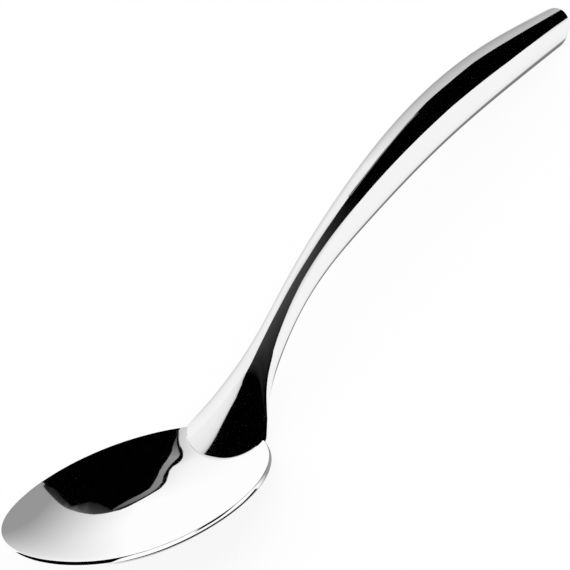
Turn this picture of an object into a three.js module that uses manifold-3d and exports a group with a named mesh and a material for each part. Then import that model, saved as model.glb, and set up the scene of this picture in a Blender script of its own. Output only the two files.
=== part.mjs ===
// Mirror-polished serving spoon with a hollow welded handle.
// All sizes are millimetres. The spoon is shaped in its rim frame, with x running from the
// middle of the bowl to the handle, y across and z up from the rim, and is then laid down
// on the table, where it rests on the back of the bowl and on the end of the handle.
import * as THREE from "three";
import Module from "manifold-3d";

// Bowl
const bowlLength = 88;
const bowlWidth = 62.9;
const bowlDepth = 8.5;
const bowlSheet = 1.5;
const bowlFlatness = 2.4;
const rimTaper = -0.062;
const rimSquareness = 0.071;
const rimShoulder = -0.061;

// Handle shells, welds and fits
const shellWall = 1;
const weldHalf = 0.9;
const seatClearance = 0.06;
const heelFillet = 1.1;
const heelBead = 0.3;
const heelBlend = 3;
const seamLead = 0.7;
const ovalBlend = 6;
const endWeldWidth = 0.8;
const capThickness = 1.5;
const capEdgeBreak = 0.4;
const endSlant = 0.92;
const ventRadius = 1.6;
const plugClearance = 0.05;

// How much is dressed flat where the spoon touches the table
const bowlFlat = 0.2;
const handleFlat = 0.35;

// Handle stations, as distances from the heel of the bowl; the mouth lies inside the bowl
const mouthFromHeel = 11.85;
const flareFromHeel = 4;
const throatFromHeel = 13;
const neckFromHeel = 31;
const shankFromHeel = 61;
const gripFromHeel = 96;
const palmFromHeel = 131;
const endFromHeel = 161.5;

// Height of the seam line above the rim
const flareRise = 6.3;
const throatRise = 12.3;
const neckRise = 24.2;
const shankRise = 37.1;
const gripRise = 46.3;
const palmRise = 50.1;
const endRise = 50;

// Width across the seam line
const cornerWidth = 28.8;
const flareWidth = 18.6;
const throatWidth = 12;
const neckWidth = 8.3;
const shankWidth = 11.2;
const gripWidth = 15.9;
const palmWidth = 16.5;
const endWidth = 11.6;

// Height of the top shell above the seam line, and of the lower shell below it
const mouthCrown = 1.12;
const cornerCrown = 2.6;
const flareCrown = 4.4;
const throatCrown = 4.25;
const flareKeel = 5.1;
const throatKeel = 4.6;
const neckHalfHeight = 4.05;
const shankHalfHeight = 5.4;
const gripHalfHeight = 6.1;
const palmHalfHeight = 5.9;
const endHalfHeight = 4.6;

// Fineness of the meshes
const bowlSteps = 72;
const bowlRings = 12;
const rimSteps = 4;
const shellColumns = 18;
const shellRows = 34;
const rowEase = 0.35;
const beadSteps = 5;
const endSteps = 48;

// Natural cubic spline through a few stations, straight beyond them.
function spline(at, value) {
  const n = at.length;
  const bend = new Array(n).fill(0);
  const carry = new Array(n).fill(0);
  for (let i = 1; i < n - 1; i++) {
    const before = at[i] - at[i - 1];
    const after = at[i + 1] - at[i];
    const share = before / (before + after);
    const pivot = share * bend[i - 1] + 2;
    const turn = (value[i + 1] - value[i]) / after - (value[i] - value[i - 1]) / before;
    bend[i] = (share - 1) / pivot;
    carry[i] = ((6 * turn) / (before + after) - share * carry[i - 1]) / pivot;
  }
  for (let i = n - 2; i >= 0; i--) bend[i] = bend[i] * bend[i + 1] + carry[i];
  const slopeAt = (i, j) => {
    const span = at[j] - at[i];
    return (value[j] - value[i]) / span - (span * (2 * bend[i] + bend[j])) / 6;
  };
  return (x) => {
    if (x <= at[0]) return value[0] + (x - at[0]) * slopeAt(0, 1);
    if (x >= at[n - 1]) {
      const span = at[n - 1] - at[n - 2];
      const lastSlope = (value[n - 1] - value[n - 2]) / span + (span * bend[n - 2]) / 6;
      return value[n - 1] + (x - at[n - 1]) * lastSlope;
    }
    let i = 0;
    while (x > at[i + 1]) i++;
    const span = at[i + 1] - at[i];
    const a = (at[i + 1] - x) / span;
    const b = (x - at[i]) / span;
    const curve = (a ** 3 - a) * bend[i] + (b ** 3 - b) * bend[i + 1];
    return a * value[i] + b * value[i + 1] + (curve * span * span) / 6;
  };
}

// The place between two values where a rising test turns from negative to positive.
function firstClear(test, from, to) {
  let low = from;
  let high = to;
  for (let i = 0; i < 60; i++) {
    const middle = (low + high) / 2;
    if (test(middle) > 0) high = middle;
    else low = middle;
  }
  return high;
}

// Bowl: a sheet of even thickness about its middle surface
const halfSheet = bowlSheet / 2;
const rimReach = bowlLength / 2 - halfSheet;
const rimSpread = bowlWidth / 2 - halfSheet;

function rimFullness(c) {
  return 1 + rimTaper * c + rimSquareness * c * c + rimShoulder * c ** 3;
}

// Share of the way from the middle of the bowl to the rim.
function bowlShare(x, y) {
  let turn = Math.atan2(y / rimSpread, x / rimReach);
  for (let i = 0; i < 16; i++) {
    turn = Math.atan2(y / (rimSpread * rimFullness(Math.cos(turn))), x / rimReach);
  }
  return Math.hypot(x / rimReach, y / (rimSpread * rimFullness(Math.cos(turn))));
}

function middleHeight(x, y) {
  return -halfSheet - bowlDepth * (1 - bowlShare(x, y) ** bowlFlatness);
}

function bowlNormal(x, y) {
  const step = 0.01;
  const alongX = (middleHeight(x + step, y) - middleHeight(x - step, y)) / (2 * step);
  const alongY = (middleHeight(x, y + step) - middleHeight(x, y - step)) / (2 * step);
  return new THREE.Vector3(-alongX, -alongY, 1).normalize();
}

function insideHeight(x, y) {
  return middleHeight(x, y) + halfSheet / bowlNormal(x, y).z;
}

function outsideHeight(x, y) {
  return middleHeight(x, y) - halfSheet / bowlNormal(x, y).z;
}

// Where the rim is as wide as the handle's flare
const cornerTurn = firstClear(
  (turn) => rimSpread * Math.sin(turn) * rimFullness(Math.cos(turn)) - cornerWidth / 2 + halfSheet,
  0,
  1.2,
);
const cornerAt = rimReach * Math.cos(cornerTurn);
const heelAt = bowlLength / 2;
const mouthAt = heelAt - mouthFromHeel;
const flareAt = heelAt + flareFromHeel;
const throatAt = heelAt + throatFromHeel;
const neckAt = heelAt + neckFromHeel;
const shankAt = heelAt + shankFromHeel;
const gripAt = heelAt + gripFromHeel;
const palmAt = heelAt + palmFromHeel;
const endAt = heelAt + endFromHeel;

// Handle: seam line, half width, crown above the seam and keel below it, along x
const beyondNeck = [neckAt, shankAt, gripAt, palmAt, endAt];
const beyondNeckHeights = [
  neckHalfHeight,
  shankHalfHeight,
  gripHalfHeight,
  palmHalfHeight,
  endHalfHeight,
];
const mouthFloor = insideHeight(mouthAt, 0) + seatClearance;
const mouthSeam = mouthFloor - mouthCrown;
const rises = [flareRise, throatRise, neckRise, shankRise, gripRise, palmRise, endRise];
const seamHeight = spline(
  [mouthAt, cornerAt, flareAt, throatAt, ...beyondNeck],
  [mouthSeam, -halfSheet, ...rises],
);
const halfWidth = spline(
  [cornerAt, flareAt, throatAt, ...beyondNeck],
  [cornerWidth, flareWidth, throatWidth, neckWidth, shankWidth, gripWidth, palmWidth, endWidth].map(
    (width) => width / 2,
  ),
);
const crownHeight = spline(
  [mouthAt, cornerAt, flareAt, throatAt, ...beyondNeck],
  [mouthCrown, cornerCrown, flareCrown, throatCrown, ...beyondNeckHeights],
);
// At the heel the keel is flush with the back of the bowl, but for the bead of the weld
const heelKeel = seamHeight(heelAt) + bowlSheet + heelBead;
const toeKeel = seamHeight(heelAt - heelBlend) - outsideHeight(heelAt - heelBlend, 0);
const keelDepth = spline(
  [heelAt - heelBlend, heelAt, flareAt, throatAt, ...beyondNeck],
  [toeKeel, heelKeel, flareKeel, throatKeel, ...beyondNeckHeights],
);

// The section thins to lens edges at the flare and is a full oval from a little past the throat.
function edgePower(x) {
  const share = THREE.MathUtils.smoothstep(x, cornerAt, throatAt + ovalBlend);
  return 2 - share;
}

// A point of the handle's skin: turn 0 is the left seam, a quarter turn the crown.
function skin(x, turn, inset) {
  const up = Math.sin(turn);
  const full = up >= 0 ? crownHeight(x) : keelDepth(x);
  const slope = (seamHeight(x + 0.05) - seamHeight(x - 0.05)) / 0.1;
  const rise = (full - inset * Math.hypot(1, slope)) * Math.abs(up) ** edgePower(x);
  const side = (halfWidth(x) - inset) * Math.cos(turn);
  return new THREE.Vector3(x, side, seamHeight(x) + Math.sign(up) * rise);
}

// Turn at which the weld along the seam stops, above or below the seam line.
function weldTurn(x, full) {
  return Math.asin((weldHalf / full(x)) ** (1 / edgePower(x)));
}

function upperTurn(x, share) {
  const edge = weldTurn(x, crownHeight);
  return edge + (Math.PI - 2 * edge) * share;
}

function lowerTurn(x, share) {
  const edge = weldTurn(x, keelDepth);
  return -edge - (Math.PI - 2 * edge) * share;
}

// The slanted end of the handle: how far a point lies beyond the cut.
const crownEnd = seamHeight(endAt) + crownHeight(endAt);
const shellCut = endAt - endWeldWidth - capThickness;

function beyondCut(point, cutAt) {
  return point.x - cutAt + endSlant * (crownEnd - point.z);
}

function cutX(turnAt, inset, cutAt) {
  const test = (x) => beyondCut(skin(x, turnAt(x), inset), cutAt);
  return firstClear(test, shankAt, endAt + capThickness);
}

// Pose on the table
let pitch = 0;
let lift = 0;
let shift = 0;

function laid(point) {
  const c = Math.cos(pitch);
  const s = Math.sin(pitch);
  return new THREE.Vector3(
    point.x * c + point.z * s - shift,
    point.y,
    point.z * c - point.x * s + lift,
  );
}

const backProfile = [];
for (let i = 0; i <= 400; i++) {
  const x = -rimReach + (2 * rimReach * i) / 400;
  const normal = bowlNormal(x, 0);
  backProfile.push(
    new THREE.Vector3(x, 0, middleHeight(x, 0)).addScaledVector(normal, -halfSheet),
  );
}
const endPoint = (turn, cutAt) => {
  const x = cutX(() => turn, 0, cutAt);
  return skin(x, turn, 0);
};
const endProfile = [endPoint(-Math.PI / 2, shellCut), endPoint(-Math.PI / 2, endAt)];
const lowest = (points) => Math.min(...points.map((point) => laid(point).z));
pitch = firstClear(
  (angle) => {
    pitch = angle;
    return lowest(backProfile) + bowlFlat - lowest(endProfile) - handleFlat;
  },
  0,
  0.6,
);
lift = -lowest(backProfile) - bowlFlat;
const rimEdge = [];
for (let i = 0; i <= rimSteps; i++) rimEdge.push(...bowlLoop(1, (Math.PI * i) / rimSteps));
const capEdge = [...endLoop(0, endAt - capEdgeBreak), ...endLoop(capEdgeBreak, endAt)];
const along = (points) => points.map((point) => laid(point).x);
shift = (Math.min(...along(rimEdge)) + Math.max(...along(capEdge))) / 2;

// Meshes
function solidGeometry(points, triangles) {
  const flat = points.flatMap((point) => laid(point).toArray());
  let volume = 0;
  for (let i = 0; i < triangles.length; i += 3) {
    const [a, b, c] = [0, 1, 2].map((k) =>
      new THREE.Vector3().fromArray(flat, 3 * triangles[i + k]),
    );
    volume += a.dot(b.cross(c));
  }
  if (volume < 0) {
    for (let i = 0; i < triangles.length; i += 3) {
      [triangles[i + 1], triangles[i + 2]] = [triangles[i + 2], triangles[i + 1]];
    }
  }
  const geometry = new THREE.BufferGeometry();
  geometry.setAttribute("position", new THREE.Float32BufferAttribute(flat, 3));
  geometry.setIndex(triangles);
  return geometry;
}

// A wall between two grids of points, closed along all four borders.
function wallBetween(outer, inner) {
  const rows = outer.length;
  const columns = outer[0].length;
  const points = [...outer.flat(), ...inner.flat()];
  const half = rows * columns;
  const triangles = [];
  const quad = (a, b, c, d) => triangles.push(a, b, c, a, c, d);
  const at = (i, j) => i * columns + j;
  for (let i = 0; i < rows - 1; i++) {
    for (let j = 0; j < columns - 1; j++) {
      const corners = [at(i, j), at(i, j + 1), at(i + 1, j + 1), at(i + 1, j)];
      quad(...corners);
      triangles.push(half + corners[0], half + corners[2], half + corners[1]);
      triangles.push(half + corners[0], half + corners[3], half + corners[2]);
    }
  }
  for (let j = 0; j < columns - 1; j++) {
    quad(at(0, j + 1), at(0, j), half + at(0, j), half + at(0, j + 1));
    const last = rows - 1;
    quad(at(last, j), at(last, j + 1), half + at(last, j + 1), half + at(last, j));
  }
  for (let i = 0; i < rows - 1; i++) {
    const end = columns - 1;
    quad(at(i, 0), at(i + 1, 0), half + at(i + 1, 0), half + at(i, 0));
    quad(at(i, end), half + at(i, end), half + at(i + 1, end), at(i + 1, end));
  }
  return solidGeometry(points, triangles);
}

// A body from closed loops joined in turn; the last joins the first, or both ends get a lid.
function loopBody(loops, firstLid, lastLid) {
  const count = loops[0].length;
  const points = loops.flat();
  const triangles = [];
  const joins = firstLid ? loops.length - 1 : loops.length;
  for (let i = 0; i < joins; i++) {
    const here = i * count;
    const next = ((i + 1) % loops.length) * count;
    for (let j = 0; j < count; j++) {
      const k = (j + 1) % count;
      triangles.push(here + j, here + k, next + k, here + j, next + k, next + j);
    }
  }
  if (firstLid) {
    const lids = [
      [firstLid, 0, 1],
      [lastLid, (loops.length - 1) * count, 0],
    ];
    for (const [middle, start, reverse] of lids) {
      const tipIndex = points.push(middle) - 1;
      for (let j = 0; j < count; j++) {
        const pair = [start + j, start + ((j + 1) % count)];
        if (reverse) pair.reverse();
        triangles.push(tipIndex, pair[0], pair[1]);
      }
    }
  }
  return solidGeometry(points, triangles);
}

// Bowl: inside rings outwards, round the rim, outside rings back to the middle
function bowlLoop(share, angle) {
  const loop = [];
  for (let j = 0; j < bowlSteps; j++) {
    const turn = (2 * Math.PI * j) / bowlSteps;
    const c = Math.cos(turn);
    const x = share * rimReach * c;
    const y = share * rimSpread * Math.sin(turn) * rimFullness(c);
    const normal = bowlNormal(x, y);
    const outward = new THREE.Vector3(
      bowlShare(x + 0.01, y) - bowlShare(x - 0.01, y),
      bowlShare(x, y + 0.01) - bowlShare(x, y - 0.01),
      0,
    );
    outward.addScaledVector(normal, -outward.dot(normal)).normalize();
    loop.push(
      new THREE.Vector3(x, y, middleHeight(x, y))
        .addScaledVector(normal, halfSheet * Math.cos(angle))
        .addScaledVector(outward, halfSheet * Math.sin(angle)),
    );
  }
  return loop;
}

const bowlLoops = [];
for (let i = 1; i <= bowlRings; i++) bowlLoops.push(bowlLoop(i / bowlRings, 0));
for (let i = 1; i < rimSteps; i++) bowlLoops.push(bowlLoop(1, (Math.PI * i) / rimSteps));
for (let i = bowlRings; i >= 1; i--) bowlLoops.push(bowlLoop(i / bowlRings, Math.PI));
const bowlBottom = -halfSheet - bowlDepth;
const bowlGeometry = loopBody(
  bowlLoops,
  new THREE.Vector3(0, 0, bowlBottom + halfSheet),
  new THREE.Vector3(0, 0, bowlBottom - halfSheet),
);

// Rows along a handle column, closer together where the handle bends into the bowl
function columnRows(turnAt, inset, from, cutAt) {
  const until = cutX(turnAt, inset, cutAt);
  const points = [];
  for (let i = 0; i < shellRows; i++) {
    const share = i / (shellRows - 1);
    const eased = share * (rowEase + (1 - rowEase) * share);
    const x = i === shellRows - 1 ? until : from + (until - from) * eased;
    points.push(skin(x, turnAt(x), inset));
  }
  return points;
}

const transpose = (columns) => columns[0].map((_, i) => columns.map((column) => column[i]));

// Upper shell: its mouth stands on the inside of the bowl
function upperStart(turnAt, inset) {
  const test = (x) => {
    const point = skin(x, turnAt(x), inset);
    return point.z - insideHeight(point.x, point.y) - seatClearance;
  };
  return firstClear(test, heelAt - bowlLength / 4, flareAt);
}

// Lower shell and seams: they start just outside the rim
function rimStart(turnAt, inset, lead = 0) {
  const test = (x) => {
    const point = skin(x, turnAt(x), inset);
    const share = bowlShare(point.x, point.y);
    const reach = Math.hypot(point.x, point.y) / share;
    return (share - 1) * reach - halfSheet - seatClearance - lead;
  };
  return firstClear(test, heelAt - bowlLength / 4, flareAt);
}

function shellColumn(turnOf, startOf, share, inset) {
  const turnAt = (x) => turnOf(x, share);
  return columnRows(turnAt, inset, startOf(turnAt, inset), shellCut);
}

function shellGrid(turnOf, startOf, inset) {
  const columns = [];
  for (let j = 0; j <= shellColumns; j++) {
    columns.push(shellColumn(turnOf, startOf, j / shellColumns, inset));
  }
  return columns;
}

const upperOuter = shellGrid(upperTurn, upperStart, 0);
const upperInner = shellGrid(upperTurn, upperStart, shellWall);
const lowerOuter = shellGrid(lowerTurn, rimStart, 0);
const lowerInner = shellGrid(lowerTurn, rimStart, shellWall);

// Seam welds fill the slot between the two shells on each side
function seamGeometry(side) {
  const last = side > 0 ? 0 : shellColumns;
  const middleTurn = () => (side > 0 ? 0 : Math.PI);
  const middle = (inset) =>
    columnRows(middleTurn, inset, rimStart(middleTurn, inset, seamLead), shellCut);
  return wallBetween(
    transpose([upperOuter[last], middle(0), lowerOuter[last]]),
    transpose([upperInner[last], middle(shellWall), lowerInner[last]]),
  );
}

// Heel weld in the bowl: a fillet in the corner between the upper shell and the bowl
function filletUpper() {
  const face = [];
  const root = [];
  upperOuter.forEach((column) => {
    const foot = column[0];
    const along = column[1].clone().sub(foot).normalize();
    const normal = bowlNormal(foot.x, foot.y);
    const away = along.clone().addScaledVector(normal, -along.dot(normal)).normalize();
    const toe = foot.clone().addScaledVector(away, -heelFillet);
    toe.z = insideHeight(toe.x, toe.y) + seatClearance;
    const low = foot.clone().addScaledVector(away, -heelFillet / 8);
    low.z = insideHeight(low.x, low.y) + seatClearance;
    const reach = Math.min(heelFillet, column[1].distanceTo(foot) * 0.9);
    const back = low.clone().sub(foot);
    const high = foot.clone().addScaledVector(along, reach).add(back);
    const sag = toe.clone().add(high).multiplyScalar(0.3).addScaledVector(low, 0.4);
    face.push([high, sag, toe]);
    root.push([high.clone().lerp(low, 0.5), low, low.clone().lerp(toe, 0.5)]);
  });
  return wallBetween(face, root);
}

// Heel weld behind the bowl: a bead that blends the lower shell into the back of the bowl
function beadLower() {
  const face = [];
  const root = [];
  const first = Math.round(shellColumns * 0.2);
  for (let j = first; j <= shellColumns - first; j++) {
    const foot = lowerOuter[j][0];
    const reach = Math.hypot(foot.x, foot.y);
    const outer = [];
    const seat = [];
    for (let i = 0; i <= beadSteps; i++) {
      const fade = i / beadSteps;
      const inwards = 1 - (2 * seatClearance + heelBlend * fade) / reach;
      const x = foot.x * inwards;
      const y = foot.y * inwards;
      const under = outsideHeight(x, y) - seatClearance;
      const thick = Math.max(heelBead * (1 - fade) ** 1.4, heelBead / 3);
      outer.push(new THREE.Vector3(x, y, under - thick));
      seat.push(new THREE.Vector3(x, y, under));
    }
    face.push(outer);
    root.push(seat);
  }
  return wallBetween(face, root);
}

// End of the handle: weld ring, flat cap with a vent hole, and the plug in it
function endLoop(inset, cutAt) {
  const loop = [];
  for (let j = 0; j < endSteps; j++) {
    const turn = (2 * Math.PI * j) / endSteps;
    const x = cutX(() => turn, inset, cutAt);
    loop.push(skin(x, turn, inset));
  }
  return loop;
}

const ventHeight = seamHeight(endAt);

function ventLoop(radius, cutAt) {
  const loop = [];
  for (let j = 0; j < endSteps; j++) {
    const turn = (2 * Math.PI * j) / endSteps;
    const z = ventHeight + radius * Math.sin(turn);
    loop.push(
      new THREE.Vector3(cutAt - endSlant * (crownEnd - z), radius * Math.cos(turn), z),
    );
  }
  return loop;
}

const ventMiddle = (cutAt) =>
  new THREE.Vector3(cutAt - endSlant * (crownEnd - ventHeight), 0, ventHeight);
const capSeat = shellCut + endWeldWidth;
const endWeldGeometry = loopBody([
  endLoop(0, shellCut),
  endLoop(0, capSeat),
  endLoop(shellWall, capSeat),
  endLoop(shellWall, shellCut),
]);
const capGeometry = loopBody([
  endLoop(0, capSeat),
  endLoop(0, endAt - capEdgeBreak),
  endLoop(capEdgeBreak, endAt),
  ventLoop(ventRadius, endAt),
  ventLoop(ventRadius, capSeat),
]);
const plugGeometry = loopBody(
  [ventLoop(ventRadius - plugClearance, capSeat), ventLoop(ventRadius - plugClearance, endAt)],
  ventMiddle(capSeat),
  ventMiddle(endAt),
);

// Dressing flat: what would reach below the table is taken off
const wasm = await Module();
wasm.setup();

function dressed(geometry) {
  const body = new wasm.Manifold(
    new wasm.Mesh({
      numProp: 3,
      vertProperties: geometry.getAttribute("position").array,
      triVerts: new Uint32Array(geometry.index.array),
    }),
  );
  const mesh = body.trimByPlane([0, 0, 1], 0).getMesh();
  const cut = new THREE.BufferGeometry();
  cut.setAttribute("position", new THREE.BufferAttribute(mesh.vertProperties, 3));
  cut.setIndex(new THREE.BufferAttribute(mesh.triVerts, 1));
  return cut;
}

// Assembly
const spoon = new THREE.Group();
spoon.name = "serving_spoon";

function add(name, geometry, finish) {
  const steel = new THREE.MeshStandardMaterial({ ...finish, metalness: 1 });
  steel.name = name + "_steel";
  geometry.computeVertexNormals();
  const mesh = new THREE.Mesh(geometry, steel);
  mesh.name = name;
  spoon.add(mesh);
}

const polished = { color: 0xd9dadc, roughness: 0.05 };
const blended = { color: 0xd6d7d9, roughness: 0.08 };
const upperShell = wallBetween(transpose(upperOuter), transpose(upperInner));
const lowerShell = wallBetween(transpose(lowerOuter), transpose(lowerInner));

add("bowl", dressed(bowlGeometry), polished);
add("handle_upper_shell", upperShell, polished);
add("handle_lower_shell", dressed(lowerShell), polished);
add("seam_weld_left", seamGeometry(1), blended);
add("seam_weld_right", seamGeometry(-1), blended);
add("heel_weld_upper", filletUpper(), blended);
add("heel_weld_lower", beadLower(), blended);
add("end_weld", dressed(endWeldGeometry), blended);
add("end_cap", dressed(capGeometry), polished);
add("vent_plug", plugGeometry, blended);

export default spoon;
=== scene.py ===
# %% [markdown]
# # A mirror-polished serving spoon
# The spoon is a sheet-metal bowl with a hollow handle welded to its heel. Every surface is a mirror,
# so its looks are made of two things: exact smooth curves, and the studio that they reflect. This
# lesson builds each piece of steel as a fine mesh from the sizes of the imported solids, polishes it,
# and then sets it in a white studio with dark cards round it.

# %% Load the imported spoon
import math

import bpy
import numpy as np
from mathutils import Matrix, Vector


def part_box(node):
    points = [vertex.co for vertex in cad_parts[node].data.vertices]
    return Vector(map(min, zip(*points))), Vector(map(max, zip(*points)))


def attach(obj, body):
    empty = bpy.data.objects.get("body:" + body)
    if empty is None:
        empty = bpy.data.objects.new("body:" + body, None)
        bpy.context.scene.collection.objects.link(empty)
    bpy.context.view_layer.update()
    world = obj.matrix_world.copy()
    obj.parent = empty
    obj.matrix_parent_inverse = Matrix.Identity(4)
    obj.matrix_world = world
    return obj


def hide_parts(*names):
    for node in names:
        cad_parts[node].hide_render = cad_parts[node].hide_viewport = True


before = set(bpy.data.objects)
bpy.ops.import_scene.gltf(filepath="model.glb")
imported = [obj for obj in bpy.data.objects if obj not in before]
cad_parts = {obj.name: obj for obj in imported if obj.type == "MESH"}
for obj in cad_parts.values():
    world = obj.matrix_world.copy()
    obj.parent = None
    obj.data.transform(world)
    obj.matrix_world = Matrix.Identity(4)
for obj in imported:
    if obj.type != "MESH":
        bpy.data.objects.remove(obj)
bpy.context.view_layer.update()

# %% [markdown]
# ## The drawing's curves
# A spoon maker lays out the handle by a few stations: so wide here, so high there. A smooth curve
# through the stations gives the sizes in between. A natural cubic spline bends as evenly as a thin
# lath held at those points. A mirror shows each kink, so the curve has to be smooth in its bend too.

# %% Smooth curve through stations


def lath(stations, values):
    """Natural cubic spline through the stations, straight beyond them."""
    stations = np.array(stations, float)
    values = np.array(values, float)
    gaps = np.diff(stations)
    rises = np.diff(values) / gaps
    count = len(stations)
    system = np.eye(count)
    target = np.zeros(count)
    for i in range(1, count - 1):
        system[i, i - 1 : i + 2] = gaps[i - 1], 2 * (gaps[i - 1] + gaps[i]), gaps[i]
        target[i] = 6 * (rises[i] - rises[i - 1])
    bend = np.linalg.solve(system, target)
    first_slope = rises[0] - gaps[0] * bend[1] / 6
    last_slope = rises[-1] + gaps[-1] * bend[-2] / 6

    def curve(x):
        x = np.asarray(x, float)
        held = np.clip(x, stations[0], stations[-1])
        i = np.clip(np.searchsorted(stations, held) - 1, 0, count - 2)
        b = (held - stations[i]) / gaps[i]
        a = 1 - b
        sag = ((a**3 - a) * bend[i] + (b**3 - b) * bend[i + 1]) * gaps[i] ** 2 / 6
        slope = np.where(x < stations[0], first_slope, last_slope)
        return a * values[i] + b * values[i + 1] + sag + slope * (x - held)

    return curve


def first_clear(test, low, high):
    """Where a rising test turns positive between two values, by halving."""
    low = np.array(low, float)
    high = np.array(high, float)
    for _ in range(50):
        middle = (low + high) / 2
        clear = test(middle) > 0
        high = np.where(clear, middle, high)
        low = np.where(clear, low, middle)
    return high


print("lath through 0, 1, 0 at its quarter points:", lath([0, 1, 2], [0, 1, 0])([0.5, 1.5]))

# %% [markdown]
# ## The bowl's shape
# The bowl is drawn from one sheet, so it has the same thickness all over. Its middle surface is a
# shallow dish whose depth fades towards the rim, and the rim is an oval that is a little fuller
# towards the tip. Sizes are millimetres, in the rim's own frame: x to the handle, y across, z up.

# %% Bowl sizes and surface
BOWL_LENGTH = 88.0
BOWL_WIDTH = 62.9
BOWL_DEPTH = 8.5
BOWL_SHEET = 1.5
BOWL_FLATNESS = 2.4
RIM_TAPER = -0.062
RIM_SQUARENESS = 0.071
RIM_SHOULDER = -0.061

half_sheet = BOWL_SHEET / 2
rim_reach = BOWL_LENGTH / 2 - half_sheet
rim_spread = BOWL_WIDTH / 2 - half_sheet


def unit(vectors):
    return vectors / np.linalg.norm(vectors, axis=-1, keepdims=True)


def rim_fullness(c):
    return 1 + RIM_TAPER * c + RIM_SQUARENESS * c**2 + RIM_SHOULDER * c**3


def dish(share, turn):
    """Points of the sheet's middle, their upward normals, and the way out towards the rim."""
    share, turn = np.broadcast_arrays(np.asarray(share, float), np.asarray(turn, float))
    c = np.cos(turn)
    s = np.sin(turn)
    full = rim_fullness(c)
    fuller = -s * (RIM_TAPER + 2 * RIM_SQUARENESS * c + 3 * RIM_SHOULDER * c**2)
    height = -half_sheet - BOWL_DEPTH * (1 - share**BOWL_FLATNESS)
    points = np.stack([share * rim_reach * c, share * rim_spread * s * full, height], -1)
    climb = BOWL_DEPTH * BOWL_FLATNESS * share ** (BOWL_FLATNESS - 1)
    outwards = np.stack([rim_reach * c, rim_spread * s * full, climb], -1)
    around = np.stack([-rim_reach * s, rim_spread * (c * full + s * fuller), 0 * s], -1)
    normals = unit(np.cross(outwards, around))
    return points, normals, np.cross(unit(around), normals)


def dish_share(x, y):
    """How far a point lies from the middle of the bowl, as a share of the way to the rim."""
    turn = np.arctan2(y / rim_spread, x / rim_reach)
    for _ in range(16):
        turn = np.arctan2(y / (rim_spread * rim_fullness(np.cos(turn))), x / rim_reach)
    return np.hypot(x / rim_reach, y / (rim_spread * rim_fullness(np.cos(turn)))), turn


def sheet_height(x, y, side):
    """Height of the inside (side 1) or the back (side -1) of the sheet over a point."""
    share, turn = dish_share(x, y)
    points, normals, _ = dish(share, turn)
    return points[..., 2] + side * half_sheet / normals[..., 2]


print("bowl's inside is", round(-float(sheet_height(0.0, 0.0, 1)), 2), "mm deep below the rim")

# %% [markdown]
# ## The handle's shape
# The handle is pressed in two half shells, so its sizes hang on the seam line where they meet: how
# high the seam runs, how wide the handle is there, how far the crown stands above it and the keel
# below it. Where it flares into the bowl the section thins from an oval to a lens with sharp edges.

# %% Handle stations and sizes
heel_at = BOWL_LENGTH / 2
MOUTH_FROM_HEEL = 11.85
FLARE_TO_END = np.array([4, 13, 31, 61, 96, 131, 161.5])
SEAM_RISES = [6.3, 12.3, 24.2, 37.1, 46.3, 50.1, 50]
SEAM_WIDTHS = [28.8, 18.6, 12, 8.3, 11.2, 15.9, 16.5, 11.6]
MOUTH_CROWN = 1.12
CROWNS = [2.6, 4.4, 4.25]
KEELS = [5.1, 4.6]
HALF_HEIGHTS = [4.05, 5.4, 6.1, 5.9, 4.6]
SHELL_WALL = 1.0
WELD_HALF = 0.9
SEAT_CLEARANCE = 0.06
HEEL_BEAD = 0.3
HEEL_BLEND = 3.0
OVAL_BLEND = 6.0
SLOPE_STEP = 0.05

corner_turn = first_clear(
    lambda t: rim_spread * np.sin(t) * rim_fullness(np.cos(t)) + half_sheet - SEAM_WIDTHS[0] / 2,
    0.0,
    1.2,
)
corner_at = float(rim_reach * np.cos(corner_turn))
mouth_at = heel_at - MOUTH_FROM_HEEL
toe_at = heel_at - HEEL_BLEND
stations = list(heel_at + FLARE_TO_END)
flare_at, throat_at, neck_at, shank_at = stations[:4]
end_at = stations[-1]
mouth_floor = float(sheet_height(mouth_at, 0.0, 1)) + SEAT_CLEARANCE

seam_height = lath(
    [mouth_at, corner_at, *stations],
    [mouth_floor - MOUTH_CROWN, -half_sheet, *SEAM_RISES],
)
half_width = lath([corner_at, *stations], np.array(SEAM_WIDTHS) / 2)
crown_height = lath(
    [mouth_at, corner_at, *stations],
    [MOUTH_CROWN, *CROWNS, *HALF_HEIGHTS],
)
heel_keel = float(seam_height(heel_at)) + BOWL_SHEET + HEEL_BEAD
toe_keel = float(seam_height(toe_at) - sheet_height(toe_at, 0.0, -1))
keel_depth = lath([toe_at, heel_at, *stations], [toe_keel, heel_keel, *KEELS, *HALF_HEIGHTS])


def edge_power(x):
    share = np.clip((x - corner_at) / (throat_at + OVAL_BLEND - corner_at), 0, 1)
    return 2 - share**2 * (3 - 2 * share)


def skin(x, turn, inset=0.0):
    """A point of the handle: turn 0 is the left seam, a quarter turn the crown, minus the keel."""
    x, turn = np.broadcast_arrays(np.asarray(x, float), np.asarray(turn, float))
    up = np.sin(turn)
    full = np.where(up >= 0, crown_height(x), keel_depth(x))
    slope = (seam_height(x + SLOPE_STEP) - seam_height(x - SLOPE_STEP)) / (2 * SLOPE_STEP)
    rise = (full - inset * np.hypot(1, slope)) * np.abs(up) ** edge_power(x)
    side = (half_width(x) - inset) * np.cos(turn)
    return np.stack([x, side, seam_height(x) + np.sign(up) * rise], -1)


def skin_normal(x, turn, half):
    """Outward normal of the handle's upper (half 1) or lower (half -1) skin."""
    nudge = 1e-3
    turn = half * np.clip(half * turn, 2 * nudge, math.pi - 2 * nudge)
    along = skin(x + nudge, turn) - skin(x - nudge, turn)
    around = skin(x, turn + nudge) - skin(x, turn - nudge)
    return unit(np.cross(around, along))


print("handle grip is", SEAM_WIDTHS[6], "mm wide and", 2 * HALF_HEIGHTS[3], "mm high")

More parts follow.
